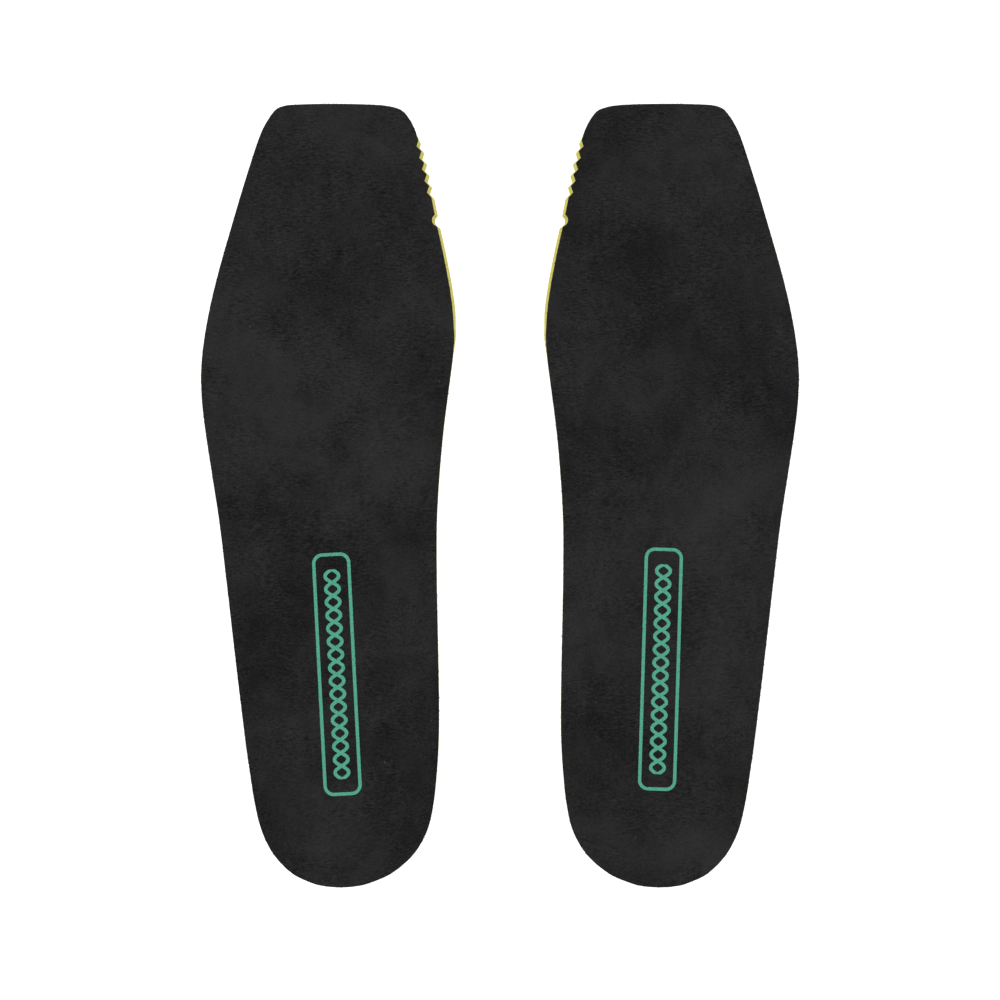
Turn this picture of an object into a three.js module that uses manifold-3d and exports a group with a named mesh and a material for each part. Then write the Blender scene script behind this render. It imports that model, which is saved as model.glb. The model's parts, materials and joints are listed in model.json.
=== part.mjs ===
// A pair of cushioned boot insoles with a wide square toe, laid side by side with the toes
// towards +Y. Each insole is a moulded foam base with a fabric top cover glued on, two soft pads
// let into its underside and a printed panel on its heel. Millimetres, +Z up, soles on z = 0,
// origin at the middle of the pair's footprint.
//
// One insole is described in its own plan frame: +x towards the big toe (medial), y from the back
// of the heel. The left insole stands in that frame, and the right one is its mirror image.

import * as THREE from 'three';
import { mergeVertices } from 'three/addons/utils/BufferGeometryUtils.js';
import Module from 'manifold-3d';

const wasm = await Module();
wasm.setup();

// ---- Driving dimensions -------------------------------------------------------------------

const LENGTH = 296;
const HEEL_WIDTH = 70.2;
const WAIST_WIDTH = 82.6;
const BALL_WIDTH = 96.3;
const TOE_WIDTH = 65.4;
const AXIS_SPACING = 120.2; // between the long axes of the two insoles
const HEEL_BOW = 1.1; // how far the middle of the heel end stands out
const TOE_BOW = 0.35;

const COVER_THICKNESS = 0.9;
const GLUE_LINE = 0.2;
const HEEL_THICKNESS = 7.5; // foam and cover together, on the floor of the heel cup
const FOREFOOT_THICKNESS = 5;
const HEEL_RIM_RISE = 6;
const ARCH_RISE = 9.5;
const LATERAL_RISE = 4;
const HEEL_RIM_WIDTH = 15;
const ARCH_RIM_WIDTH = 26;
const LATERAL_RIM_WIDTH = 14;
const RIM_ROUNDING = 1.4; // 0 gives a rim that gets steeper up to the edge, 2 one that levels out

const HEEL_UNDERCUT = 4.5; // how far the sole stands in from the edge of the cover
const ARCH_UNDERCUT = 6;
const LATERAL_UNDERCUT = 2;
const FOREFOOT_UNDERCUT = 0.3;
const FOREFOOT_FLARE = 1; // how far the foam stands out past the cover at the ball and big toe
const ARCH_LIFT = 3; // hollow under the arch
const ARCH_REACH = 0.44; // share of the waist width from the long axis to the medial edge
const LIFT_STARTS = 0.2; // share of that reach at which the hollow begins
const WALL_BULGE = 0.15; // share of the undercut by which the foam wall bulges at half height

const FLEX_FROM_TOE = 94.5; // where the flex line crosses the long axis
const FLEX_AT = LENGTH - FLEX_FROM_TOE;
const FLEX_SLANT = THREE.MathUtils.degToRad(12);
const FLEX_GAP = 0.3;

const FIT = 0.3; // clearance round each pad
const HEEL_PAD = { x: 1.2, y: 43, width: 44, length: 56, thickness: 3 };
const FOREFOOT_PAD = { x: -4, ahead: 31, width: 62, length: 32, thickness: 2 };

const SIZE_NOTCHES = { count: 5, fromToe: 24.6, pitch: 4.4, depth: 1.35 };
const ROUND_NOTCH = { fromToe: 44.3, length: 4.6, depth: 1.55 };
const NOTCH_RAKE = 0.35; // how far the foot of a notch lies behind its top, towards the heel

const PANEL = { width: 14.5, length: 92, corner: 3.9, stroke: 1.25 };
const PANEL_PLACES = { // printed by hand, so a little differently on each insole
  left: { x: -1.7, y: 79.5, slant: THREE.MathUtils.degToRad(3) },
  right: { x: -0.7, y: 81.4, slant: THREE.MathUtils.degToRad(1.8) },
};
const PATTERN = { width: 6.4, length: 79, stroke: 1.3, waves: 8 };
const INK_THICKNESS = 0.2;
const INK_GAP = 0.15;

// ---- Plan outline -------------------------------------------------------------------------

// Each row is [share of the length, lateral reach, medial reach], with the reaches as shares of
// the width of the region.
const REGIONS = [
  {
    width: HEEL_WIDTH,
    stations: [
      [0.0027, 0.13, 0.134],
      [0.0105, 0.213, 0.224],
      [0.019, 0.27, 0.288],
      [0.0426, 0.362, 0.398],
      [0.078, 0.431, 0.476],
      [0.142, 0.483, 0.517],
      [0.21, 0.522, 0.53],
    ],
  },
  {
    width: WAIST_WIDTH,
    stations: [
      [0.33, 0.498, 0.445],
      [0.466, 0.559, 0.441],
    ],
  },
  {
    width: BALL_WIDTH,
    stations: [
      [0.58, 0.538, 0.402],
      [0.645, 0.556, 0.427],
      [0.702, 0.541, 0.444],
      [0.767, 0.5, 0.424],
      [0.844, 0.434, 0.376],
    ],
  },
  {
    width: TOE_WIDTH,
    stations: [
      [0.927, 0.525, 0.475],
      [0.968, 0.458, 0.423],
      [0.99, 0.395, 0.359],
      [0.9945, 0.371, 0.319],
      [0.9975, 0.331, 0.258],
      [0.9988, 0.28, 0.18],
    ],
  },
];

const ROWS_PER_STATION = 2;
const COLUMNS = 10; // an even number, so that one column runs along the middle
const MEDIAL = 1;
const LATERAL = -1;

function edgeCurve(side) {
  const points = [];
  for (const { width, stations } of REGIONS) {
    for (const [at, lateral, medial] of stations) {
      const reach = side === MEDIAL ? medial : -lateral;
      points.push(new THREE.Vector3(reach * width, at * LENGTH, 0));
    }
  }
  return new THREE.CatmullRomCurve3(points, false, 'centripetal');
}

const EDGES = { [MEDIAL]: edgeCurve(MEDIAL), [LATERAL]: edgeCurve(LATERAL) };
const ROWS = (EDGES[MEDIAL].points.length - 1) * ROWS_PER_STATION;

// A point on one edge, moved in by the inset that inset(side, share of the length) gives.
function edgePoint(side, row, inset) {
  const point = EDGES[side].getPoint(row / ROWS);
  const along = EDGES[side].getTangent(row / ROWS);
  const inwards = new THREE.Vector3(-side * along.y, side * along.x, 0);
  return point.addScaledVector(inwards, inset(side, point.y / LENGTH));
}

// The plan as rows of points from the lateral to the medial edge, closer together at the edges.
function planSheet(inset) {
  const sheet = [];
  for (let row = 0; row <= ROWS; row += 1) {
    const from = edgePoint(LATERAL, row, inset);
    const to = edgePoint(MEDIAL, row, inset);
    const bow = row === 0 ? -HEEL_BOW : row === ROWS ? TOE_BOW : 0;
    const points = [];
    for (let column = 0; column <= COLUMNS; column += 1) {
      const across = (1 - Math.cos((Math.PI * column) / COLUMNS)) / 2;
      const point = from.clone().lerp(to, across);
      point.y += bow * (1 - (2 * across - 1) ** 2);
      points.push(point);
    }
    sheet.push(points);
  }
  return sheet;
}

// The rim of a sheet, anticlockwise from above, from the lateral end of the heel.
function rimOf(sheet) {
  const heelEnd = sheet[0].slice(0, COLUMNS);
  const medial = sheet.slice(0, ROWS).map((row) => row[COLUMNS]);
  const toeEnd = sheet[ROWS].slice(1).reverse();
  const lateral = sheet.slice(1).map((row) => row[0]).reverse();
  return [...heelEnd, ...medial, ...toeEnd, ...lateral];
}

const noInset = () => 0;
const OUTLINE = rimOf(planSheet(noInset));

// ---- Heights ------------------------------------------------------------------------------

// Eases through [share of the length, value] stops.
function eased(stops, at) {
  const next = stops.findIndex(([stop]) => stop > at);
  if (next === 0) return stops[0][1];
  if (next < 0) return stops.at(-1)[1];
  const [start, low] = stops[next - 1];
  const [end, high] = stops[next];
  return low + (high - low) * THREE.MathUtils.smoothstep(at, start, end);
}

const FLOOR = [[0.24, HEEL_THICKNESS], [0.58, FOREFOOT_THICKNESS]];
const RIM_RISE = {
  [MEDIAL]: [[0.2, HEEL_RIM_RISE], [0.36, ARCH_RISE], [0.42, ARCH_RISE], [0.66, 0]],
  [LATERAL]: [[0.2, HEEL_RIM_RISE], [0.36, LATERAL_RISE], [0.42, LATERAL_RISE], [0.6, 0]],
};
const RIM_WIDTH = {
  [MEDIAL]: [[0.18, HEEL_RIM_WIDTH], [0.36, ARCH_RIM_WIDTH]],
  [LATERAL]: [[0.18, HEEL_RIM_WIDTH], [0.36, LATERAL_RIM_WIDTH]],
};
const UNDERCUT = {
  [MEDIAL]: [
    [0.2, HEEL_UNDERCUT], [0.36, ARCH_UNDERCUT], [0.45, ARCH_UNDERCUT], [0.75, -FOREFOOT_FLARE],
    [0.935, -FOREFOOT_FLARE], [0.975, FOREFOOT_UNDERCUT],
  ],
  [LATERAL]: [[0.2, HEEL_UNDERCUT], [0.4, LATERAL_UNDERCUT], [0.65, FOREFOOT_UNDERCUT]],
};
const LIFT_ALONG = [[0.28, 0], [0.42, 1], [0.46, 1], [0.6, 0]];

const undercut = (side, at) => eased(UNDERCUT[side], at);

function nearestOnOutline(x, y) {
  const from = new THREE.Vector3(x, y, 0);
  const near = new THREE.Vector3();
  const best = { distance: Infinity, point: new THREE.Vector3() };
  OUTLINE.forEach((start, index) => {
    const end = OUTLINE[(index + 1) % OUTLINE.length];
    new THREE.Line3(start, end).closestPointToPoint(from, true, near);
    const distance = near.distanceTo(from);
    if (distance < best.distance) {
      best.distance = distance;
      best.point.copy(near);
    }
  });
  return best;
}

function topHeight(x, y) {
  const { distance, point } = nearestOnOutline(x, y);
  const side = point.x > 0 ? MEDIAL : LATERAL;
  const at = point.y / LENGTH;
  const climb = Math.max(0, 1 - distance / eased(RIM_WIDTH[side], at));
  const curl = climb ** 2 * (1 + RIM_ROUNDING * (1 - climb));
  return eased(FLOOR, y / LENGTH) + eased(RIM_RISE[side], at) * curl;
}

function soleHeight(x, y) {
  const edge = eased(UNDERCUT[MEDIAL], y / LENGTH);
  const reach = WAIST_WIDTH * ARCH_REACH - edge;
  const towardsArch = THREE.MathUtils.smoothstep(x, reach * LIFT_STARTS, reach);
  return ARCH_LIFT * towardsArch * eased(LIFT_ALONG, y / LENGTH);
}

// ---- Solids -------------------------------------------------------------------------------

function toGeometry(triangles) {
  const geometry = new THREE.BufferGeometry();
  const positions = triangles.flatMap((point) => point.toArray());
  geometry.setAttribute('position', new THREE.Float32BufferAttribute(positions, 3));
  return mergeVertices(geometry);
}

// A closed solid between two sheets, with its wall running through the rings between their rims.
function solidBetween(top, rings, bottom) {
  const triangles = [];
  const quad = (a, b, c, d) => triangles.push(a, b, c, a, c, d);
  for (let row = 0; row < ROWS; row += 1) {
    for (let column = 0; column < COLUMNS; column += 1) {
      const corners = (sheet) => [
        sheet[row][column], sheet[row][column + 1],
        sheet[row + 1][column + 1], sheet[row + 1][column],
      ];
      quad(...corners(top));
      const [first, ...others] = corners(bottom);
      quad(first, ...others.reverse());
    }
  }
  const levels = [rimOf(top), ...rings, rimOf(bottom)];
  for (let level = 1; level < levels.length; level += 1) {
    const above = levels[level - 1];
    const below = levels[level];
    above.forEach((point, index) => {
      const next = (index + 1) % above.length;
      quad(below[index], below[next], above[next], point);
    });
  }
  return toGeometry(triangles);
}

function raised(sheet, height) {
  return sheet.map((row) => row.map(({ x, y }) => new THREE.Vector3(x, y, height(x, y))));
}

function toSolid(geometry) {
  const bare = geometry.clone();
  bare.deleteAttribute('normal');
  bare.deleteAttribute('uv');
  const merged = mergeVertices(bare);
  return new wasm.Manifold(new wasm.Mesh({
    numProp: 3,
    vertProperties: new Float32Array(merged.attributes.position.array),
    triVerts: new Uint32Array(merged.index.array),
  }));
}

function fromSolid(solid) {
  const mesh = solid.getMesh();
  const geometry = new THREE.BufferGeometry();
  geometry.setAttribute('position', new THREE.BufferAttribute(mesh.vertProperties, 3));
  geometry.setIndex(new THREE.BufferAttribute(mesh.triVerts, 1));
  return geometry;
}

function subtractAll(geometry, cutters) {
  return cutters.reduce((solid, cutter) => solid.subtract(toSolid(cutter)), toSolid(geometry));
}

// Everything behind (-1) or ahead (+1) of the flex line, less half the gap.
function flexSide(direction) {
  const reach = LENGTH * 2;
  return new THREE.BoxGeometry(reach, reach, reach)
    .translate(0, direction * (reach + FLEX_GAP) / 2, 0)
    .rotateZ(FLEX_SLANT)
    .translate(0, FLEX_AT, 0);
}

function splitAtFlexLine(solid) {
  const half = (direction) => fromSolid(solid.intersect(toSolid(flexSide(direction))));
  return { rear: half(-1), front: half(1) };
}

// ---- Notches in the medial edge of the forefoot -----------------------------------------------

function medialEdgeAt(y) {
  const row = ROWS * bisect((share) => EDGES[MEDIAL].getPoint(share).y - y);
  return { point: edgePoint(MEDIAL, row, noInset), along: EDGES[MEDIAL].getTangent(row / ROWS) };
}

function bisect(excess) {
  let low = 0;
  let high = 1;
  for (let step = 0; step < 40; step += 1) {
    const middle = (low + high) / 2;
    if (excess(middle) > 0) high = middle;
    else low = middle;
  }
  return low;
}

// A prism through the full thickness, its shape drawn with the edge along +x and inwards as +y.
// It leans outwards as it goes down, so that the foam stands out past the cover in the notch too,
// and a little towards the heel.
function notchCutter(shape, y) {
  const { point, along } = medialEdgeAt(y);
  const height = 4 * FOREFOOT_THICKNESS;
  const [rake, lean] = [NOTCH_RAKE, FOREFOOT_FLARE].map((reach) => reach / FOREFOOT_THICKNESS);
  return new THREE.ExtrudeGeometry(shape, { depth: height, bevelEnabled: false, curveSegments: 8 })
    .translate(0, 0, -height / 2)
    .applyMatrix4(new THREE.Matrix4().makeShear(0, 0, 0, 0, rake, lean))
    .translate(-NOTCH_RAKE, -FOREFOOT_FLARE, 0)
    .rotateZ(Math.atan2(along.y, along.x))
    .translate(point.x, point.y, 0);
}

// The V is drawn on past the edge, so that it also goes through the flare of the foam.
function vNotch(y) {
  const { pitch, depth } = SIZE_NOTCHES;
  const overrun = 2 * FOREFOOT_FLARE;
  const shape = new THREE.Shape();
  const spread = (pitch / 2) * (1 + overrun / depth);
  shape.moveTo(-spread, -overrun);
  shape.lineTo(spread, -overrun);
  shape.lineTo(0, depth);
  return notchCutter(shape, y);
}

function roundNotch() {
  const { fromToe, length, depth } = ROUND_NOTCH;
  const radius = (length ** 2 / 4 + depth ** 2) / (2 * depth);
  const shape = new THREE.Shape();
  shape.absarc(0, depth - radius, radius, 0, 2 * Math.PI);
  return notchCutter(shape, LENGTH - fromToe);
}

function notches() {
  const { count, fromToe, pitch } = SIZE_NOTCHES;
  const cutters = [roundNotch()];
  for (let index = 0; index < count; index += 1) {
    cutters.push(vNotch(LENGTH - fromToe + pitch * (index - (count - 1) / 2)));
  }
  return cutters;
}

// ---- Pads let into the underside ----------------------------------------------------------

// An upright oval prism from below the sole to a given height, grown by a clearance.
function ovalPrism({ width, length, thickness }, clearance, drop) {
  const shape = new THREE.Shape();
  shape.absellipse(0, 0, width / 2 + clearance, length / 2 + clearance, 0, 2 * Math.PI);
  const depth = thickness + clearance + drop;
  return new THREE.ExtrudeGeometry(shape, { depth, bevelEnabled: false, curveSegments: 16 })
    .translate(0, 0, -drop);
}

function heelPad(clearance = 0, drop = 0) {
  return ovalPrism(HEEL_PAD, clearance, drop).translate(HEEL_PAD.x, HEEL_PAD.y, 0);
}

function forefootPad(clearance = 0, drop = 0) {
  return ovalPrism(FOREFOOT_PAD, clearance, drop)
    .translate(FOREFOOT_PAD.x, FOREFOOT_PAD.ahead, 0)
    .rotateZ(FLEX_SLANT)
    .translate(0, FLEX_AT, 0);
}

// ---- Cover and foam -----------------------------------------------------------------------

function topCover() {
  const plan = planSheet(noInset);
  const top = raised(plan, topHeight);
  const bottom = raised(plan, (x, y) => topHeight(x, y) - COVER_THICKNESS);
  return splitAtFlexLine(subtractAll(solidBetween(top, [], bottom), notches()));
}

function foamBase() {
  const foamTop = (x, y) => topHeight(x, y) - COVER_THICKNESS - GLUE_LINE;
  const top = raised(planSheet(noInset), foamTop);
  const sole = raised(planSheet(undercut), soleHeight);
  const rim = rimOf(top);
  const bulge = rimOf(sole).map((point, index) => {
    const middle = rim[index].clone().lerp(point, 0.5);
    const outwards = rim[index].clone().sub(point).setZ(0);
    return middle.addScaledVector(outwards, WALL_BULGE);
  });
  const recesses = [heelPad(FIT, FIT), forefootPad(FIT, FIT)];
  return splitAtFlexLine(subtractAll(solidBetween(top, [bulge], sole), [...notches(), ...recesses]));
}

// ---- Printed panel ------------------------------------------------------------------------

// A rounded rectangle, with its straight sides in short steps so that it can follow the surface.
function roundedRectangle(width, length, corner, grow) {
  const halfWidth = width / 2 + grow;
  const halfLength = length / 2 + grow;
  const radius = corner + grow;
  const path = new THREE.Path();
  path.absarc(halfWidth - radius, halfLength - radius, radius, 0, Math.PI / 2);
  path.absarc(radius - halfWidth, halfLength - radius, radius, Math.PI / 2, Math.PI);
  path.absarc(radius - halfWidth, radius - halfLength, radius, Math.PI, 1.5 * Math.PI);
  path.absarc(halfWidth - radius, radius - halfLength, radius, 1.5 * Math.PI, 2 * Math.PI);
  const corners = path.getPoints(4);
  const longSteps = 10;
  return corners.flatMap((point, index) => {
    const next = corners[(index + 1) % corners.length];
    const steps = point.distanceTo(next) > length / 2 ? longSteps : 1;
    return Array.from({ length: steps }, (_, step) => point.clone().lerp(next, step / steps));
  });
}

function flatInk(shape) {
  return new THREE.ExtrudeGeometry(shape, { depth: INK_THICKNESS, bevelEnabled: false });
}

// Sets flat ink, drawn about the middle of the panel, down on the cover.
function onCover(flat, { x, y, slant }) {
  const ink = flat.rotateZ(slant).translate(x, y, 0);
  const position = ink.attributes.position;
  for (let index = 0; index < position.count; index += 1) {
    const cover = topHeight(position.getX(index), position.getY(index));
    position.setZ(index, position.getZ(index) + cover + INK_GAP);
  }
  return ink;
}

// A closed flat band of ink between two loops with the same number of points.
function inkLoop(outer, inner) {
  const triangles = [];
  const at = ({ x, y }, z) => new THREE.Vector3(x, y, z);
  const quad = (a, b, c, d) => triangles.push(a, b, c, a, c, d);
  const band = (from, fromZ, to, toZ) => from.forEach((point, index) => {
    const next = (index + 1) % from.length;
    quad(at(point, fromZ), at(from[next], fromZ), at(to[next], toZ), at(to[index], toZ));
  });
  band(outer, 0, outer, INK_THICKNESS);
  band(outer, INK_THICKNESS, inner, INK_THICKNESS);
  band(inner, INK_THICKNESS, inner, 0);
  band(inner, 0, outer, 0);
  return toGeometry(triangles);
}

function printBorder(place) {
  const { width, length, corner, stroke } = PANEL;
  const outer = roundedRectangle(width, length, corner, 0);
  const inner = roundedRectangle(width, length, corner, -stroke);
  return onCover(inkLoop(outer, inner), place);
}

// One wavy band along the panel; two of opposite phase make a chain of lenses.
function waveBand(phase) {
  const { width, length, stroke, waves } = PATTERN;
  const swing = (width - stroke) / 2;
  const stepsPerWave = 8;
  const steps = waves * stepsPerWave;
  const turn = (2 * Math.PI * waves) / length;
  const sides = { left: [], right: [] };
  for (let step = 0; step <= steps; step += 1) {
    const along = (step / steps) * length;
    const slope = phase * swing * turn * Math.cos(turn * along);
    const point = new THREE.Vector2(phase * swing * Math.sin(turn * along), along - length / 2);
    const across = new THREE.Vector2(1, -slope).normalize().multiplyScalar(stroke / 2);
    sides.left.push(point.clone().sub(across));
    sides.right.push(point.clone().add(across));
  }
  return flatInk(new THREE.Shape([...sides.right, ...sides.left.reverse()]));
}

function printPattern(place) {
  return onCover(fromSolid(toSolid(waveBand(1)).add(toSolid(waveBand(-1)))), place);
}

// ---- Materials ----------------------------------------------------------------------------

const material = (color, roughness) => () => new THREE.MeshStandardMaterial({
  color, roughness, metalness: 0,
});
const coverFabric = material(0x262626, 0.95);
const baseFoam = material(0xc7c070, 0.85);
const padFoam = material(0x8a8d8f, 0.8);
const greenInk = material(0x4b997d, 0.7);

// ---- Assembly -----------------------------------------------------------------------------

function insolePieces(place) {
  const cover = topCover();
  const foam = foamBase();
  return [
    ['top_cover_rear', cover.rear, coverFabric],
    ['top_cover_front', cover.front, coverFabric],
    ['foam_base_rear', foam.rear, baseFoam],
    ['foam_base_front', foam.front, baseFoam],
    ['heel_pad', heelPad(), padFoam],
    ['forefoot_pad', forefootPad(), padFoam],
    ['print_border', printBorder(place), greenInk],
    ['print_pattern', printPattern(place), greenInk],
  ];
}

// A mirror image across x = 0, with each triangle turned round again so that it faces out.
function mirrored(geometry) {
  const copy = geometry.index ? geometry.toNonIndexed() : geometry.clone();
  copy.deleteAttribute('normal');
  copy.deleteAttribute('uv');
  const { array } = copy.attributes.position;
  for (let start = 0; start < array.length; start += 9) {
    const [first, second, third] = [0, 3, 6].map((skip) => array.slice(start + skip, start + skip + 3));
    array.set([...first, ...third, ...second], start);
  }
  return mergeVertices(copy.scale(-1, 1, 1));
}

function insole(prefix, shapeFor, x) {
  const group = new THREE.Group();
  for (const [name, geometry, finish] of insolePieces(PANEL_PLACES[prefix])) {
    const mesh = new THREE.Mesh(shapeFor(geometry), finish());
    mesh.name = `${prefix}_${name}`;
    group.add(mesh);
  }
  group.position.set(x, -LENGTH / 2, 0);
  return group;
}

function insolePair() {
  const left = insole('left', (geometry) => geometry, -AXIS_SPACING / 2);
  const right = insole('right', mirrored, AXIS_SPACING / 2);
  return new THREE.Group().add(left, right);
}

export default insolePair();
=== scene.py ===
import json
import math
import random

import bmesh
import bpy
import numpy as np
from mathutils import Matrix, Vector, noise


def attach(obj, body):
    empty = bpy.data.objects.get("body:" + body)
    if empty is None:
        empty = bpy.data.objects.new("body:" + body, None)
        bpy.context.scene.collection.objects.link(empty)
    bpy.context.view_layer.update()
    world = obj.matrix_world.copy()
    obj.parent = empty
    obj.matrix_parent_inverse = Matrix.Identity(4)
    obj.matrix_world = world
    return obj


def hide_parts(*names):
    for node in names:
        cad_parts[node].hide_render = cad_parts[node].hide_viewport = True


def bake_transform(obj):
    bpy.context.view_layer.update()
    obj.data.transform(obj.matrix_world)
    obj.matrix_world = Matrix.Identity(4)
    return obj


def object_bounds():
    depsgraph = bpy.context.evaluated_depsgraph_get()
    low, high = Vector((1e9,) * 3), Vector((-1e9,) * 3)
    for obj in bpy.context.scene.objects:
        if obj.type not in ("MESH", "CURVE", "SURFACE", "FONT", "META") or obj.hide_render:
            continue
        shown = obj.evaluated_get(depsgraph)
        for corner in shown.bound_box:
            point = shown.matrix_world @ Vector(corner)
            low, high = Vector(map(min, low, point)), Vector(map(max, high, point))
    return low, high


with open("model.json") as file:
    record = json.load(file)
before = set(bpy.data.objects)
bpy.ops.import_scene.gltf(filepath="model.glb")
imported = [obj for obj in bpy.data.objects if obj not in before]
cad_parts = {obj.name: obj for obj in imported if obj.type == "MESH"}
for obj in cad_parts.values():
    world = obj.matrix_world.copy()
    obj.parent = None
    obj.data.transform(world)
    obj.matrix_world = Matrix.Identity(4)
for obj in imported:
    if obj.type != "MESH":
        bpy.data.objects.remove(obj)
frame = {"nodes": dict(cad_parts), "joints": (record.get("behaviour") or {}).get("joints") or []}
cad_low, cad_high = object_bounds()

MM = 0.001
RNG = random.Random(7)

# ---- What the frame says --------------------------------------------------------------------

SIDES = ("left", "right")
COVER_NODES = ("top_cover_rear", "top_cover_front")
FOAM_NODES = ("foam_base_rear", "foam_base_front")
PAD_NODES = ("heel_pad", "forefoot_pad")
REAR_BODY = "rearfeet"
BEND_BEHIND = 14 * MM  # how far behind the flex line the forefoot starts to turn up
BEND_AHEAD = 30 * MM  # how far ahead of it the turn is complete
SAME_PLACE = 0.002 * MM  # points nearer to each other than this are one
NEAR_CUT = 0.4 * MM  # what lies nearer to the flex line than this is part of the cut there


def nodes_of(side, parts):
    """The full names of one insole's nodes."""
    return [f"{side}_{part}" for part in parts]


def corners_of(name):
    """The corners of a node's mesh."""
    mesh = frame["nodes"][name].data
    return np.array([vertex.co for vertex in mesh.vertices])


def joint_of(side):
    return next(j for j in frame["joints"] if j["name"] == f"{side}_toe_flex")


def ahead_of_flex(side):
    """A point on the flex line and the level direction square to it, towards the toe."""
    joint = joint_of(side)
    along = Vector(joint["axis"])
    return Vector(joint["pos_m"]), Vector((-along.y, along.x, 0)).normalized()


def point_key(point):
    return tuple(round(value / SAME_PLACE) for value in point)


def rim_points(side, names, is_cap):
    """The plan points where the faces that is_cap picks meet the walls, but for the flex cut."""
    flex_point, ahead = ahead_of_flex(side)
    places, edges = {}, {}
    for name in names:
        mesh = frame["nodes"][name].data
        for face in mesh.polygons:
            keys = []
            for index in face.vertices:
                point = mesh.vertices[index].co
                keys.append(point_key(point))
                places[keys[-1]] = point
            for pair in zip(keys, keys[1:] + keys[:1]):
                edges.setdefault((name, frozenset(pair)), []).append(is_cap(face.normal))

    def on_cut(key):
        return abs((places[key] - flex_point).dot(ahead)) < NEAR_CUT

    rim = set()
    for (_, pair), caps in edges.items():
        if len(set(caps)) == 2 and not all(on_cut(key) for key in pair):
            rim.update(pair)
    return np.array([places[key][:2] for key in sorted(rim)])


# ---- Outlines -------------------------------------------------------------------------------

SHARPEST_ROUND = math.radians(26)  # what turns more than this at one point is a corner
SHORTEST_LEG = 0.08 * MM  # a point nearer than this to the one before it is left out
OUTLINE_STEP = 0.3 * MM  # from point to point along a smoothed outline
ON_AXIS = 1e-6  # what lies nearer than this to the line from heel to toe is on neither edge
TIP_ROW = 0.03 * MM  # from a sheet's tip to the row next to it
TIP_GROWTH = 1.3  # how much further apart each of the rows after that is
TIP_ROWS = 13
NOTCH_ROW = 0.22 * MM  # from row to row along the notches
PLAIN_ROW = 0.8 * MM  # from row to row elsewhere
TIP_CLEAR = 0.02 * MM  # the least distance between two rows within a millimetre of a tip
ROW_CLEAR = 0.1 * MM  # and elsewhere


def catmull_rom(points, step, skip=0):
    """Points along a centripetal Catmull-Rom curve, without its last one or its skipped legs."""
    ends = 2 * points[0] - points[1], 2 * points[-1] - points[-2]
    path = np.vstack([ends[0], points, ends[1]])[skip:len(points) + 2 - skip]
    found = []
    for a, b, c, d in zip(path, path[1:], path[2:], path[3:]):
        gaps = [math.sqrt(np.linalg.norm(v - u)) for u, v in ((a, b), (b, c), (c, d))]
        t0, t1, t2, t3 = np.cumsum([0, *gaps])
        count = max(1, math.ceil(np.linalg.norm(c - b) / step))
        t = np.linspace(t1, t2, count, endpoint=False)[:, None]
        ab = ((t1 - t) * a + (t - t0) * b) / (t1 - t0)
        bc = ((t2 - t) * b + (t - t1) * c) / (t2 - t1)
        cd = ((t3 - t) * c + (t - t2) * d) / (t3 - t2)
        abc = ((t2 - t) * ab + (t - t0) * bc) / (t2 - t0)
        bcd = ((t3 - t) * bc + (t - t1) * cd) / (t3 - t1)
        found.append(((t2 - t) * abc + (t - t1) * bcd) / (t2 - t1))
    return np.vstack(found)


def spread_out(points):
    """The points without those that nearly repeat the one before."""
    kept = [points[0]]
    for point in points[1:]:
        if np.linalg.norm(point - kept[-1]) > SHORTEST_LEG:
            kept.append(point)
    return np.array(kept)


def smooth_loop(points):
    """A fine closed line through points in order, and its corners, which stay sharp."""
    legs = np.roll(points, -1, axis=0) - points
    headings = np.arctan2(legs[:, 1], legs[:, 0])
    turns = np.abs((headings - np.roll(headings, 1) + math.pi) % (2 * math.pi) - math.pi)
    sharp = list(np.flatnonzero(turns > SHARPEST_ROUND))
    if not sharp:
        ring = np.vstack([points[-3:], points, points[:3]])
        return catmull_rom(ring, OUTLINE_STEP, skip=2), points[:0]
    turned = np.roll(points, -sharp[0], axis=0)
    stops = [i - sharp[0] for i in sharp] + [len(points)]
    turned = np.vstack([turned, turned[:1]])
    runs = [turned[a:b + 1] for a, b in zip(stops, stops[1:])]
    return np.vstack([catmull_rom(run, OUTLINE_STEP) for run in runs]), points[sharp]


class Outline:
    """One closed outline as two edges that run from the heel end to the toe end."""

    def __init__(self, points, medial):
        low = points[points[:, 1].argmin()]
        high = points[points[:, 1].argmax()]
        share = (points[:, 1] - low[1]) / (high[1] - low[1])
        offset = (points[:, 0] - (low[0] + (high[0] - low[0]) * share)) * medial
        up = points[offset > ON_AXIS]
        down = points[offset < -ON_AXIS]
        up = up[np.argsort(up[:, 1])]
        down = down[np.argsort(-down[:, 1])]
        loop, corners = smooth_loop(spread_out(np.vstack([low, up, high, down])))
        loop = np.roll(loop, -loop[:, 1].argmin(), axis=0)
        toe = loop[:, 1].argmax()
        back = np.vstack([loop[toe:], loop[:1]])
        self.edges = {"medial": loop[:toe + 1], "lateral": back[::-1]}
        self.ends = loop[0, 1], loop[toe, 1]
        self.corners = sorted(corners[:, 1])
        for edge in self.edges.values():
            edge[:, 1] = np.maximum.accumulate(edge[:, 1])

    def reach(self, edge, y):
        line = self.edges[edge]
        return np.interp(y, line[:, 1], line[:, 0])


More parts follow.
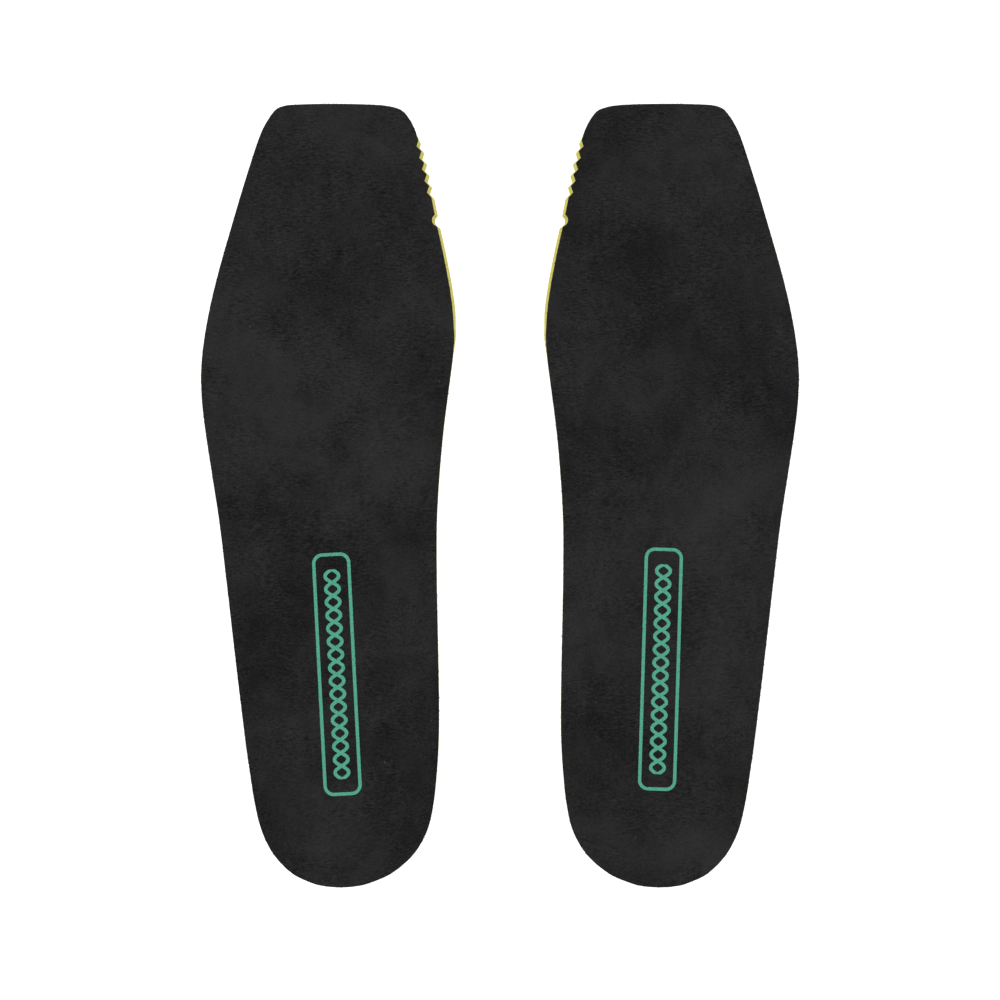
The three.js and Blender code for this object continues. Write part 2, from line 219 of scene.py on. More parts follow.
def row_places(outline):
    """Where the rows of a sheet run along y, closer together at the ends and at the notches."""
    low, high = outline.ends
    graded = np.cumsum(TIP_ROW * TIP_GROWTH ** np.arange(TIP_ROWS))
    notched = np.arange(outline.corners[0] - MM, outline.corners[-1] + MM, NOTCH_ROW)
    plain = np.arange(low + graded[-1], high - graded[-1], PLAIN_ROW)
    rows = [low, high, *outline.corners]
    for y in sorted(np.concatenate([low + graded, high - graded, plain, notched])):
        near_tip = min(y - low, high - y) < MM
        if min(abs(y - other) for other in rows) > (TIP_CLEAR if near_tip else ROW_CLEAR):
            rows.append(y)
    return np.array(sorted(rows))


# ---- Surfaces -------------------------------------------------------------------------------

LEAST_SQUARE = 1e-20  # stands in for a zero, so that its logarithm can be taken
BATCH = 4000  # how many places are worked out at a time
KNOT_GRID = 0.05 * MM  # corners in the same square of this size count as one


def thin_plate(points, heights):
    """A smooth surface through scattered points, as a function of plan points."""
    centre, size = points.mean(0), np.ptp(points[:, 1])
    knots = (points - centre) / size

    def kernel(places):
        square = (places ** 2).sum(1)[:, None] + (knots ** 2).sum(1) - 2 * places @ knots.T
        square = np.maximum(square, LEAST_SQUARE)
        return 0.5 * square * np.log(square)

    plane = np.hstack([np.ones((len(knots), 1)), knots])
    system = np.block([[kernel(knots), plane], [plane.T, np.zeros((3, 3))]])
    weights = np.linalg.solve(system, np.concatenate([heights, np.zeros(3)]))

    def surface(places):
        found = []
        for start in range(0, len(places), BATCH):
            part = (places[start:start + BATCH] - centre) / size
            full = np.hstack([kernel(part), np.ones((len(part), 1)), part])
            found.append(full @ weights)
        return np.concatenate(found)

    return surface


def cap_surface(names, is_cap, ovals=()):
    """The smooth surface through the faces that is_cap picks, as if the ovals weren't there."""
    places = {}
    for name in names:
        mesh = frame["nodes"][name].data
        for face in mesh.polygons:
            if is_cap(face.normal):
                for index in face.vertices:
                    point = mesh.vertices[index].co
                    places[tuple(round(value / KNOT_GRID) for value in point[:2])] = point
    points = np.array([places[key] for key in sorted(places)])
    for oval in ovals:
        points = points[oval.clear_of(points[:, :2])]
    return thin_plate(points[:, :2], points[:, 2])


# ---- Meshes ---------------------------------------------------------------------------------

SHARPEST_SHADED = math.radians(50)  # what turns more than this is shaded as a sharp edge
TINY = 1e-12  # added to what is divided by, in case it is zero
LEAST_SHARE = 0.05  # how near to a corner of its cell the edge of a slab may come


def mesh_object(name, points, faces, material):
    """A mesh with its faces turned outwards, shaded smooth but for its sharp edges."""
    mesh = bpy.data.meshes.new(name)
    mesh.from_pydata([tuple(point) for point in points], [], [tuple(face) for face in faces])
    form = bmesh.new()
    form.from_mesh(mesh)
    loose = [point for point in form.verts if not point.link_faces]
    bmesh.ops.delete(form, geom=loose, context="VERTS")
    bmesh.ops.recalc_face_normals(form, faces=form.faces)
    for face in form.faces:
        face.smooth = True
    for edge in form.edges:
        edge.smooth = edge.calc_face_angle(0) < SHARPEST_SHADED
    form.to_mesh(mesh)
    form.free()
    mesh.materials.append(material)
    made = bpy.data.objects.new(name, mesh)
    bpy.context.scene.collection.objects.link(made)
    return made


def inset_ends(outline, rows, inset):
    """The lateral and medial ends of each row, moved in square to the edge by inset."""
    lines = [np.column_stack([outline.reach(edge, rows), rows]) for edge in ("lateral", "medial")]
    waist = len(rows) // 2
    middle = (lines[0][waist, 0] + lines[1][waist, 0]) / 2
    ends = []
    for line in lines:
        along = np.gradient(line, axis=0)
        along /= np.linalg.norm(along, axis=1)[:, None] + TINY
        inwards = np.column_stack([along[:, 1], -along[:, 0]]) * np.sign(middle - line[waist, 0])
        ends.append(line + inwards * np.broadcast_to(inset, len(rows))[:, None])
    return ends


def plan_grid(ends, columns):
    """Plan points in rows between the two ends, closer together at the edges."""
    shares = (1 - np.cos(np.pi * np.linspace(0, 1, columns))) / 2
    lateral, medial = ends
    return lateral[:, None] * (1 - shares[:, None]) + medial[:, None] * shares[:, None]


def raise_grid(grid, height):
    """A grid of plan points with height() as their third coordinate."""
    rows, columns, _ = grid.shape
    flat = grid.reshape(-1, 2)
    return np.column_stack([flat, height(flat)]).reshape(rows, columns, 3)


def raise_ends(ends, height):
    """The two ends of every row with height() as their third coordinate."""
    return [np.column_stack([line, height(line)]) for line in ends]


def loft(name, top, rings, sole, material):
    """A closed mesh between two grids, its wall running through rings of (lateral, medial) ends.

    The first and last rows of every grid and ring are one point each.
    """
    points, levels, count = [], [], 0
    for grid in (top, *(np.stack(ring, axis=1) for ring in rings), sole):
        index = count + np.arange(grid.shape[0] * grid.shape[1]).reshape(grid.shape[:2])
        for tip in (0, -1):
            grid[tip] = grid[tip].mean(0)
            index[tip] = index[tip, 0]
        points.append(grid.reshape(-1, 3))
        levels.append(index)
        count += index.size
    strips = [levels[0], levels[-1]]
    for above, below in zip(levels, levels[1:]):
        strips += [np.stack([above[:, end], below[:, end]], axis=1) for end in (0, -1)]
    faces = []
    for strip in strips:
        corners = strip[:-1, :-1], strip[:-1, 1:], strip[1:, 1:], strip[1:, :-1]
        faces += np.stack([corner.ravel() for corner in corners], axis=1).tolist()
    return mesh_object(name, np.vstack(points), without_repeats(faces), material)


def without_repeats(faces):
    """The faces without corners that repeat, and without those that have too few left."""
    kept = []
    for face in faces:
        corners = [corner for i, corner in enumerate(face) if corner != face[i - 1]]
        if len(set(corners)) > 2:
            kept.append(corners)
    return kept


def cells_where(inside, low, high, step):
    """The cells of a flat grid where inside() is above 0, cut along its edge, and their points."""
    across = np.arange(low[0], high[0] + step, step)
    along = np.arange(low[1], high[1] + step, step)
    grid = np.stack(np.meshgrid(across, along, indexing="ij"), axis=-1)
    value = inside(grid.reshape(-1, 2)).reshape(grid.shape[:2])
    flat, seen, cells = [], {}, []

    def corner(i, j):
        if (i, j) not in seen:
            seen[i, j] = len(flat)
            flat.append(grid[i, j])
        return seen[i, j]

    def crossing(a, b):
        key = (min(a, b), max(a, b))
        if key not in seen:
            share = value[a] / (value[a] - value[b])
            share = min(1 - LEAST_SHARE, max(LEAST_SHARE, share))
            seen[key] = len(flat)
            flat.append(grid[a] + (grid[b] - grid[a]) * share)
        return seen[key]

    full = value > 0
    touched = full[:-1, :-1] | full[1:, :-1] | full[1:, 1:] | full[:-1, 1:]
    for i, j in np.argwhere(touched).tolist():
        loop = [(i, j), (i + 1, j), (i + 1, j + 1), (i, j + 1)]
        cell = []
        for a, b in zip(loop, loop[1:] + loop[:1]):
            if full[a]:
                cell.append(corner(*a))
            if full[a] != full[b]:
                cell.append(crossing(a, b))
        cells.append(cell)
    return np.array(flat), cells


def field_slab(name, inside, half, step, place, top, bottom, material):
    """A closed slab over the part of a flat box around 0 where inside() is above 0.

    place() takes flat points to plan points, and top() and bottom() give their heights.
    """
    flat, cells = cells_where(inside, -half, half, step)
    plan = place(flat)
    count = len(plan)
    points = np.vstack([np.column_stack([plan, height(plan)]) for height in (top, bottom)])
    sides = dict.fromkeys(side for cell in cells for side in zip(cell, cell[1:] + cell[:1]))
    walls = [[a, b, b + count, a + count] for a, b in sides if (b, a) not in sides]
    lids = cells + [[index + count for index in reversed(cell)] for cell in cells]
    return mesh_object(name, points, lids + walls, material)


def plan_noise(points, size, seed):
    """Smooth noise from about -1 to 1 at plan points, with lumps of the given size."""
    return np.array([noise.noise(Vector((x / size, y / size, seed))) for x, y in points])


# ---- Materials ------------------------------------------------------------------------------


class Finish:
    """A procedural material around one Principled shader."""

    def __init__(self, name, **constants):
        self.material = bpy.data.materials.new(name)
        self.material.use_nodes = True
        self.tree = self.material.node_tree
        self.shader = self.tree.nodes["Principled BSDF"]
        for socket, value in constants.items():
            self.shader.inputs[socket.replace("_", " ")].default_value = value
        self.place = self.node("ShaderNodeTexCoord").outputs["Object"]

    def node(self, kind, inputs=None, **settings):
        made = self.tree.nodes.new(kind)
        for key, value in settings.items():
            setattr(made, key, value)
        for key, value in (inputs or {}).items():
            socket = made.inputs[key]
            if isinstance(value, bpy.types.NodeSocket):
                self.tree.links.new(value, socket)
            else:
                socket.default_value = value
        return made

    def stretched(self, scale, turn=0.0):
        return self.node("ShaderNodeMapping", {
            "Vector": self.place, "Scale": scale, "Rotation": (0, 0, turn),
        }).outputs["Vector"]

    def noise(self, size, detail=2.0, roughness=0.5, distortion=0.0, vector=None):
        """Noise from 0 to 1 with lumps of the given size in metres."""
        return self.node("ShaderNodeTexNoise", {
            "Vector": vector or self.place, "Scale": 1 / size, "Detail": detail,
            "Roughness": roughness, "Distortion": distortion,
        }).outputs["Fac"]

    def cells(self, size, output, vector=None):
        return self.node("ShaderNodeTexVoronoi", {
            "Vector": vector or self.place, "Scale": 1 / size,
        }).outputs[output]

    def graded(self, value, low, high, to_low=0.0, to_high=1.0):
        """A value eased from to_low, where it is low, to to_high, where it is high."""
        return self.node("ShaderNodeMapRange", {
            "Value": value, "From Min": low, "From Max": high,
            "To Min": to_low, "To Max": to_high,
        }, interpolation_type="SMOOTHSTEP").outputs["Result"]

    def calc(self, operation, first, second):
        return self.node("ShaderNodeMath", {0: first, 1: second}, operation=operation).outputs[0]

    def weighted(self, *terms):
        """The sum of (value, weight) terms."""
        total = 0.0
        for value, weight in terms:
            total = self.node("ShaderNodeMath", {0: value, 1: weight, 2: total},
                              operation="MULTIPLY_ADD").outputs[0]
        return total

    def mix(self, share, first, second):
        mixer = self.node("ShaderNodeMix", data_type="RGBA")
        for name, value in (("Factor_Float", share), ("A_Color", first), ("B_Color", second)):
            socket = next(i for i in mixer.inputs if i.identifier == name)
            if isinstance(value, bpy.types.NodeSocket):
                self.tree.links.new(value, socket)
            else:
                socket.default_value = value
        return next(o for o in mixer.outputs if o.identifier == "Result_Color")

    def bump(self, height, depth):
        """Relief of the given depth in metres for a height from 0 to 1."""
        inputs = {"Height": height, "Distance": depth, "Strength": 1.0}
        return self.node("ShaderNodeBump", inputs).outputs["Normal"]

    def finish(self, color, normal):
        self.tree.links.new(color, self.shader.inputs["Base Color"])
        self.tree.links.new(normal, self.shader.inputs["Normal"])
        return self.material


def grey(value):
    return (value, value, value, 1)


def brushed_cover():
    """Black brushed microfibre: mottled nap, fine cross ripples with painted shade in their
    troughs, and a little lint.
    """
    look = Finish("brushed_cover", Roughness=0.95, Sheen_Weight=0.07, Sheen_Roughness=0.5,
                  Specular_IOR_Level=0.12)
    lay = look.noise(55 * MM, detail=2, roughness=0.5, distortion=0.5)
    patches = look.noise(22 * MM, detail=4, roughness=0.6, distortion=1.0)
    strokes = look.noise(6 * MM, detail=3, roughness=0.6, vector=look.stretched((1, 0.5, 1), 0.6))
    nap = look.noise(0.7 * MM, detail=2, roughness=0.8)
    crosswise = look.stretched((0.3, 1, 1))
    ripple = look.noise(0.62 * MM, detail=2, roughness=0.55, distortion=0.7, vector=crosswise)
    where = look.graded(look.noise(14 * MM, detail=2), 0.35, 0.62, 0.3, 1)
    ripples = look.calc("MULTIPLY", look.calc("SUBTRACT", ripple, 0.5), where)
    # the ripples also darken the colour in their troughs: painted shade of their relief, added to
    # the random mottling of the nap
    tone_with_ripple_shade = look.weighted((lay, 1.6), (patches, 1.2), (strokes, 0.6), (nap, 1.7), (ripples, 2.6))
    cloth = look.mix(look.graded(tone_with_ripple_shade, 1.6, 3.5), grey(0.0028), grey(0.0235))
    lint_place = look.stretched((1, 0.6, 1), 0.9)
    lint_cell = look.cells(9 * MM, "Distance", lint_place)
    lint = look.graded(lint_cell, 0.015, 0.035, 0.5, 0)
    cloth = look.mix(lint, cloth, grey(0.08))
    height = look.weighted((nap, 0.6), (ripples, 1.2))
    return look.finish(cloth, look.bump(height, 0.14 * MM))


def green_ink():
    """Screen-printed ink that lies on the nap and lets a little of it through."""
    look = Finish("green_ink", Roughness=0.6, Specular_IOR_Level=0.35)
    nap = look.noise(0.45 * MM, detail=3, roughness=0.7)
    worn = look.graded(nap, 0.25, 0.6)
    ink = look.mix(worn, (0.025, 0.16, 0.1, 1), (0.07, 0.37, 0.24, 1))
    return look.finish(ink, look.bump(nap, 0.1 * MM))


def moulded_foam():
    """Yellow polyurethane foam: a soft skin with fine open pores, with painted shade inside them.
    """
    look = Finish("moulded_foam", Roughness=0.8, Specular_IOR_Level=0.3)
    clouds = look.noise(14 * MM, detail=2)
    grain = look.noise(0.4 * MM, detail=3, roughness=0.7)
    pore_cell = look.cells(0.7 * MM, "Distance")
    pores = look.graded(pore_cell, 0.12, 0.34, 1, 0)
    skin = look.mix(clouds, (0.485, 0.43, 0.08, 1), (0.605, 0.55, 0.125, 1))
    # the darker yellow mixed in at the pores is painted shade inside them
    skin = look.mix(look.calc("MULTIPLY", pores, 0.5), skin, (0.31, 0.26, 0.035, 1))
    height = look.calc("SUBTRACT", grain, look.calc("MULTIPLY", pores, 0.8))
    return look.finish(skin, look.bump(height, 0.12 * MM))


def pad_foam():
    """Grey pad foam with a closed satin skin."""
    look = Finish("pad_foam", Roughness=0.55, Specular_IOR_Level=0.4)
    grain = look.noise(0.6 * MM, detail=3, roughness=0.6)
    skin = look.mix(look.noise(10 * MM), (0.2, 0.205, 0.21, 1), (0.27, 0.275, 0.28, 1))
    return look.finish(skin, look.bump(grain, 0.06 * MM))


def studio_floor():
    """A plain white floor, bright enough to lose nearly all of the insoles' shadow."""
    look = Finish("studio_floor", Roughness=0.9, Specular_IOR_Level=0.1, Base_Color=grey(0.6),
                  Emission_Color=grey(1), Emission_Strength=0.75)
    return look.material


FABRIC = brushed_cover()
INK = green_ink()
FOAM = moulded_foam()
PAD = pad_foam()

# ---- Pieces ---------------------------------------------------------------------------------

COVER_THICKNESS = 0.9 * MM
GLUE_LINE = 0.02 * MM  # between the cover and the foam
CUT_ROUND = 0.18 * MM  # rounding of the cover's cut edge
CUT_WANDER = 0.1 * MM  # how far the cut strays from its line
CUT_LUMPS = 1.3 * MM  # and over what length
SOLE_ROUND = 0.5 * MM  # rounding of the foam's edge at the sole
NOTCH_LOSS = 0.8  # how much of that rounding is gone at the notches, as a share
BEVEL = 0.3  # how far in and down the middle of a rounding lies, as a share of its radius
HEEL_LEAN = 0.25  # over what share of the length the heel's wall leans in along y
TOE_LEAN = 0.03  # and the toe's
WALL_RINGS = 8  # rings of points from the cover down to the rounding at the sole
WALL_BULGE = 0.6  # the wall stands out by at most a quarter of this share of its lean
RECESS_FIT = 0.3 * MM  # how much further than its pad a recess reaches, sideways and upwards
RECESS_CLEAR = 3 * RECESS_FIT  # beyond this distance from a pad the sole shows nothing of it
RECESS_CELL = 1.3 * MM  # size of the faces of a recess's ceiling
CUT_BELOW = 2 * MM  # how far the tool that cuts a recess starts below the sole
COLUMNS = 56  # points across a sheet
NOTCH_MARGIN = 2 * MM  # the edge changes between twice this and this from the notches
GLUED_WAVE = 0.05 * MM  # height of the faint waves of glued cloth
GLUED_LUMPS = 9 * MM  # and their size


def level_at(height):
    """A level surface, as a function of plan points."""
    return lambda plan: np.full(len(plan), height)


def faces_up(normal):
    """Whether a face belongs to the top, which slopes at the heel cup and the arch."""
    return normal.z > 0.5


def faces_down(normal):
    """Whether a face belongs to the sole, which hardly slopes."""
    return normal.z < -0.9


def ease(value, start, end):
    """A smooth rise from 0 at start to 1 at end."""
    share = np.clip((value - start) / (end - start), 0, 1)
    return share * share * (3 - 2 * share)


class Insole:
    """What one insole's pieces share: its outline, its rows and its top surface."""

    def __init__(self, side):
        self.side = side
        self.medial = 1 if side == "left" else -1
        covers = nodes_of(side, COVER_NODES)
        self.outline = Outline(rim_points(side, covers, faces_up), self.medial)
        self.rows = row_places(self.outline)
        self.smooth_top = cap_surface(covers, faces_up)
        flex_point, ahead = ahead_of_flex(side)
        self.start = flex_point - ahead * BEND_BEHIND
        self.end = flex_point + ahead * BEND_AHEAD
        first, last = self.outline.corners[0], self.outline.corners[-1]
        self.notched = ease(self.rows, first - 2 * NOTCH_MARGIN, first - NOTCH_MARGIN)
        self.notched *= 1 - ease(self.rows, last + NOTCH_MARGIN, last + 2 * NOTCH_MARGIN)

    def top(self, plan):
        """The height of the top cover, with the faint waves of glued cloth."""
        return self.smooth_top(plan) + plan_noise(plan, GLUED_LUMPS, seed=3.0) * GLUED_WAVE

    def bends(self, piece):
        """Bakes a piece's placement into its mesh; the piece is not bent."""
        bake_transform(piece)


def top_cover(insole):
    """The cover, cut a little roughly, with its top edge just rounded over."""
    rows, outline = insole.rows, insole.outline
    wander = [noise.noise(Vector((0, y / CUT_LUMPS, insole.medial))) for y in rows]
    rough = CUT_WANDER * np.array(wander) * (1 - insole.notched)

    def ring(share_in, drop):
        ends = inset_ends(outline, rows, rough + CUT_ROUND * share_in)
        return raise_ends(ends, lambda plan: insole.top(plan) - drop)

    top = raise_grid(plan_grid(inset_ends(outline, rows, rough + CUT_ROUND), COLUMNS), insole.top)
    under = raise_grid(plan_grid(inset_ends(outline, rows, rough), COLUMNS),
                       lambda plan: insole.top(plan) - COVER_THICKNESS)
    rings = [ring(BEVEL, BEVEL * CUT_ROUND), ring(0, CUT_ROUND)]
    piece = loft(f"{insole.side}_top_cover", top, rings, under, FABRIC)
    insole.bends(piece)
    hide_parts(*nodes_of(insole.side, COVER_NODES))
    return piece


class Oval:
    """An oval pad as the frame has it: its middle, its half widths and its thickness."""

    def __init__(self, insole, node):
        self.name = f"{insole.side}_{node}"
        slanted = node == "forefoot_pad"
        along = Vector(joint_of(insole.side)["axis"]) if slanted else Vector((1, 0, 0))
        self.across = np.array(along[:2])
        self.ahead = np.array([-along[1], along[0]])
        points = corners_of(self.name)
        self.thickness = points[:, 2].max()
        spans = [points[:, :2] @ axis for axis in (self.across, self.ahead)]
        self.half = np.array([np.ptp(span) / 2 for span in spans])
        middle = [(span.max() + span.min()) / 2 for span in spans]
        self.centre = self.across * middle[0] + self.ahead * middle[1]

    def place(self, flat):
        """Plan points for points in the oval's own frame."""
        return self.centre + flat[:, :1] * self.across + flat[:, 1:] * self.ahead

    def flat(self, plan):
        """Points in the oval's own frame for plan points."""
        offset = plan - self.centre
        return np.column_stack([offset @ self.across, offset @ self.ahead])

    def depth(self, flat):
        """Roughly how far inside the oval's edge a point lies."""
        reach = np.linalg.norm(flat / self.half, axis=1)
        slope = np.linalg.norm(flat / self.half ** 2, axis=1) / (reach + TINY)
        return (1 - reach) / (slope + TINY)

    def clear_of(self, plan):
        """Which plan points lie well away from the oval."""
        return self.depth(self.flat(plan)) < -RECESS_CLEAR


def cut_recess(piece, oval):
    """Cuts the recess that a pad sits in, with a ceiling of small faces."""
    ceiling = level_at(oval.thickness + RECESS_FIT)
    cutter = field_slab("cutter", lambda flat: oval.depth(flat) + RECESS_FIT,
                        oval.half + RECESS_CLEAR, RECESS_CELL, oval.place,
                        ceiling, level_at(-CUT_BELOW), FOAM)
    cut = piece.modifiers.new("recess", "BOOLEAN")
    cut.operation = "DIFFERENCE"
    cut.solver = "MANIFOLD"
    cut.object = cutter
    bpy.context.view_layer.update()
    shaped = piece.evaluated_get(bpy.context.evaluated_depsgraph_get())
    shaped_mesh = bpy.data.meshes.new_from_object(shaped)
    piece.modifiers.clear()
    piece.data = shaped_mesh
    bpy.data.objects.remove(cutter)


def sole_outline(insole, ovals):
    """The outline of the foam where it meets the floor, without the recesses for the pads."""
    points = rim_points(insole.side, nodes_of(insole.side, FOAM_NODES), faces_down)
    for oval in ovals:
        points = points[oval.clear_of(points)]
    return Outline(points, insole.medial)


def sole_places(insole, sole_line):
    """Where the cover's rows meet the sole, whose outline is shorter than the cover's."""
    rows = insole.rows
    low, high = insole.outline.ends
    length = high - low
    heel_shift = (sole_line.ends[0] - low) * (1 - ease(rows, low, low + HEEL_LEAN * length))
    toe_shift = (sole_line.ends[1] - high) * ease(rows, high - TOE_LEAN * length, high)
    return rows + heel_shift + toe_shift


def wall_rings(head, foot, rounding):
    """Rings from the cover down to the rounding at the sole, standing out a little on the way."""
    rings = []
    for share in np.linspace(0, 1, WALL_RINGS + 1)[1:]:
        ends = []
        for upper, lower in zip(head, foot):
            lean = (upper - lower) * (1, 1, 0)
            lowest = lower + rounding[:, None] * (0, 0, 1)
            bulge = lean * WALL_BULGE * share * (1 - share)
            ends.append(upper + (lowest - upper) * share + bulge)
        rings.append(ends)
    return rings


def foam_base(insole):
    """The moulded foam, with a wall that leans in towards the sole and two recesses under it."""
    rows, outline = insole.rows, insole.outline
    ovals = [Oval(insole, node) for node in PAD_NODES]
    sole_line = sole_outline(insole, ovals)
    sole_rows = sole_places(insole, sole_line)
    smooth_sole = cap_surface(nodes_of(insole.side, FOAM_NODES), faces_down, ovals)

    def glued_top(plan):
        return insole.top(plan) - (COVER_THICKNESS + GLUE_LINE)

    def sole_height(plan):
        return np.maximum(smooth_sole(plan), cad_low.z)

    rounding = SOLE_ROUND * (1 - NOTCH_LOSS * insole.notched)
    head = raise_ends(inset_ends(outline, rows, 0), glued_top)
    foot = raise_ends(inset_ends(sole_line, sole_rows, 0), sole_height)
    bevel = raise_ends(inset_ends(sole_line, sole_rows, BEVEL * rounding), sole_height)
    for line in bevel:
        line[:, 2] += BEVEL * rounding
    top = raise_grid(plan_grid(inset_ends(outline, rows, 0), COLUMNS), glued_top)
    sole = raise_grid(plan_grid(inset_ends(sole_line, sole_rows, rounding), COLUMNS), sole_height)
    rings = [*wall_rings(head, foot, rounding), bevel]
    piece = loft(f"{insole.side}_foam_base", top, rings, sole, FOAM)
    for oval in ovals:
        cut_recess(piece, oval)
    insole.bends(piece)
    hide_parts(*nodes_of(insole.side, FOAM_NODES))
    return piece


PAD_RIM = 0.8 * MM  # rounding of a pad's edge at the sole
RIM_STOP = 0.98  # where on its way to upright that rounding stops
PAD_CELL = 0.6 * MM
PAD_MARGIN = 0.2 * MM  # how far past the pad its grid of cells reaches
DIMPLE_PITCH = 5 * MM
DIMPLE_ROW = 0.866 * DIMPLE_PITCH  # from row to row of a triangular pattern
DIMPLE_RADIUS = 0.32 * DIMPLE_PITCH
DIMPLE_DEPTH = 0.6 * MM
DIMPLE_MARGIN = 3 * MM  # how far the dimples stay inside the pad's edge


def dimples(flat):
    """The depth, from 0 to 1, of shallow round dimples in staggered rows."""
    row = np.round(flat[:, 1] / DIMPLE_ROW)
    shift = (row % 2) * DIMPLE_PITCH / 2
    across = np.round((flat[:, 0] - shift) / DIMPLE_PITCH) * DIMPLE_PITCH + shift
    centre = np.column_stack([across, row * DIMPLE_ROW])
    bowl = np.clip(1 - np.linalg.norm(flat - centre, axis=1) / DIMPLE_RADIUS, 0, 1)
    return bowl * (2 - bowl)


def pad(insole, node):
    """A pad with a rounded rim and dimples on its underside."""
    oval = Oval(insole, node)

    def bottom(plan):
        flat = oval.flat(plan)
        near_edge = np.clip(PAD_RIM - oval.depth(flat), 0, PAD_RIM)
        rim = PAD_RIM - np.sqrt(PAD_RIM ** 2 - near_edge ** 2 * RIM_STOP)
        return rim + DIMPLE_DEPTH * dimples(flat) * (oval.depth(flat) > DIMPLE_MARGIN)

    piece = field_slab(oval.name + "_insert", oval.depth, oval.half + PAD_MARGIN, PAD_CELL,
                       oval.place, level_at(oval.thickness), bottom, PAD)
    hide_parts(oval.name)
    return piece


INK_CELL = 0.16 * MM
INK_MARGIN = 0.3 * MM  # how far past the print its grid of cells reaches
INK_ABOVE = 0.07 * MM  # how far the ink's top lies above the cover's
INK_BELOW = 0.02 * MM  # and its bottom below it
INK_RAGGED = 0.09 * MM  # how far the ink's edge strays from its line
INK_LUMPS = 0.5 * MM  # and over what length


def ink_piece(insole, node, inside):
    """Ink laid on the cover where inside() is above 0, in the panel's own flat frame."""
    name = f"{insole.side}_{node}"
    ahead = panel_turn(insole)
    across = np.array([ahead[1], -ahead[0]])
    centre = panel_centre(insole)
    points = corners_of(name)[:, :2] - centre
    half = np.array([np.abs(points @ axis).max() for axis in (across, ahead)])

    def place(flat):
        return centre + flat[:, :1] * across + flat[:, 1:] * ahead

    def ragged(flat):
        return inside(flat, half) + plan_noise(flat, INK_LUMPS, insole.medial) * INK_RAGGED

    piece = field_slab(name + "_film", ragged, half + INK_MARGIN, INK_CELL, place,
                       lambda plan: insole.top(plan) + INK_ABOVE,
                       lambda plan: insole.top(plan) - INK_BELOW, INK)
    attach(piece, REAR_BODY)
    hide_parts(name)
    return piece


def panel_centre(insole):
    """The plan point in the middle of the printed panel."""
    points = corners_of(f"{insole.side}_print_border")[:, :2]
    return (points.max(0) + points.min(0)) / 2


def panel_turn(insole):
    """The direction along the printed panel, towards the toe."""
    points = corners_of(f"{insole.side}_print_border")[:, :2] - panel_centre(insole)
    long_axis = np.linalg.svd(points, full_matrices=False)[2][0]
    return long_axis * np.sign(long_axis[1])


BORDER_STROKE = 1.25 * MM
BORDER_CORNER = 3.9 * MM
PATTERN_STROKE = 1.3 * MM
PATTERN_WAVES = 8


def border_ink(flat, half):
    """A frame with rounded corners: how far inside its stroke a point lies."""
    inner = half - BORDER_CORNER
    beyond = np.abs(flat) - inner
    outside = np.linalg.norm(np.maximum(beyond, 0), axis=1) + np.minimum(beyond.max(1), 0)
    depth = BORDER_CORNER - outside
    return np.minimum(depth, BORDER_STROKE - depth)


def wave_ink(flat, half):
    """Two waves of opposite phase, which make a chain of lenses: the depth in their stroke."""
    half = half - (0, PATTERN_STROKE / 4)
    swing = half[0] - PATTERN_STROKE / 2
    turn = math.pi * PATTERN_WAVES / half[1]
    wave = swing * np.sin(turn * (flat[:, 1] + half[1]))
    slope = swing * turn * np.cos(turn * (flat[:, 1] + half[1]))
    nearest = np.abs(np.abs(flat[:, 0]) - np.abs(wave)) / np.sqrt(1 + slope ** 2)
    return np.minimum(PATTERN_STROKE / 2 - nearest, half[1] - np.abs(flat[:, 1]))


FIBRES = 900
FIBRE_ROOT = 0.1 * MM  # how deep a fibre's foot sits in the cover
EDGE_PROBE = 0.5 * MM  # how far to each side an edge's direction is measured


def edge_fibres(insole):
    """Loose fibres of the cover's cut edge, each a thin bent spike, with none at the notches."""
    points, faces = [], []
    first, last = insole.outline.corners[0], insole.outline.corners[-1]
    for _ in range(FIBRES):
        edge = RNG.choice(("lateral", "medial"))
        root, out = edge_point(insole, edge, RNG.random())
        if edge == "medial" and first - MM < root[1] < last:
            continue
        height = insole.top(root[None])[0] - RNG.uniform(0.1, 0.7) * COVER_THICKNESS
        heading = Vector((out[0], out[1], 0))
        heading.rotate(Matrix.Rotation(RNG.gauss(0, 0.7), 3, "Z"))
        lean = Vector((0, 0, RNG.uniform(-0.5, 0.6)))
        length = RNG.uniform(0.25, 0.9) * MM
        thick = RNG.uniform(0.03, 0.07) * MM
        base = Vector((root[0], root[1], height)) - heading * FIBRE_ROOT
        bend = Vector((RNG.gauss(0, 0.3), RNG.gauss(0, 0.3), RNG.gauss(0, 0.3)))
        spike(points, faces, base, heading + lean, bend, length, thick)
    piece = mesh_object(f"{insole.side}_edge_fibres", points, faces, FABRIC)
    insole.bends(piece)
    return piece


def edge_point(insole, edge, share):
    """The plan point at a share of an edge's length, and the outward direction there."""
    line = insole.outline.edges[edge]
    legs = np.linalg.norm(np.diff(line, axis=0), axis=1)
    passed = np.concatenate([[0], np.cumsum(legs)])

    def at(distance):
        return np.array([np.interp(distance, passed, line[:, axis]) for axis in (0, 1)])

    distance = share * passed[-1]
    along = at(distance + EDGE_PROBE) - at(distance - EDGE_PROBE)
    outward = 1 if (edge == "medial") == (insole.medial > 0) else -1
    return at(distance), np.array([along[1], -along[0]]) / np.linalg.norm(along) * outward


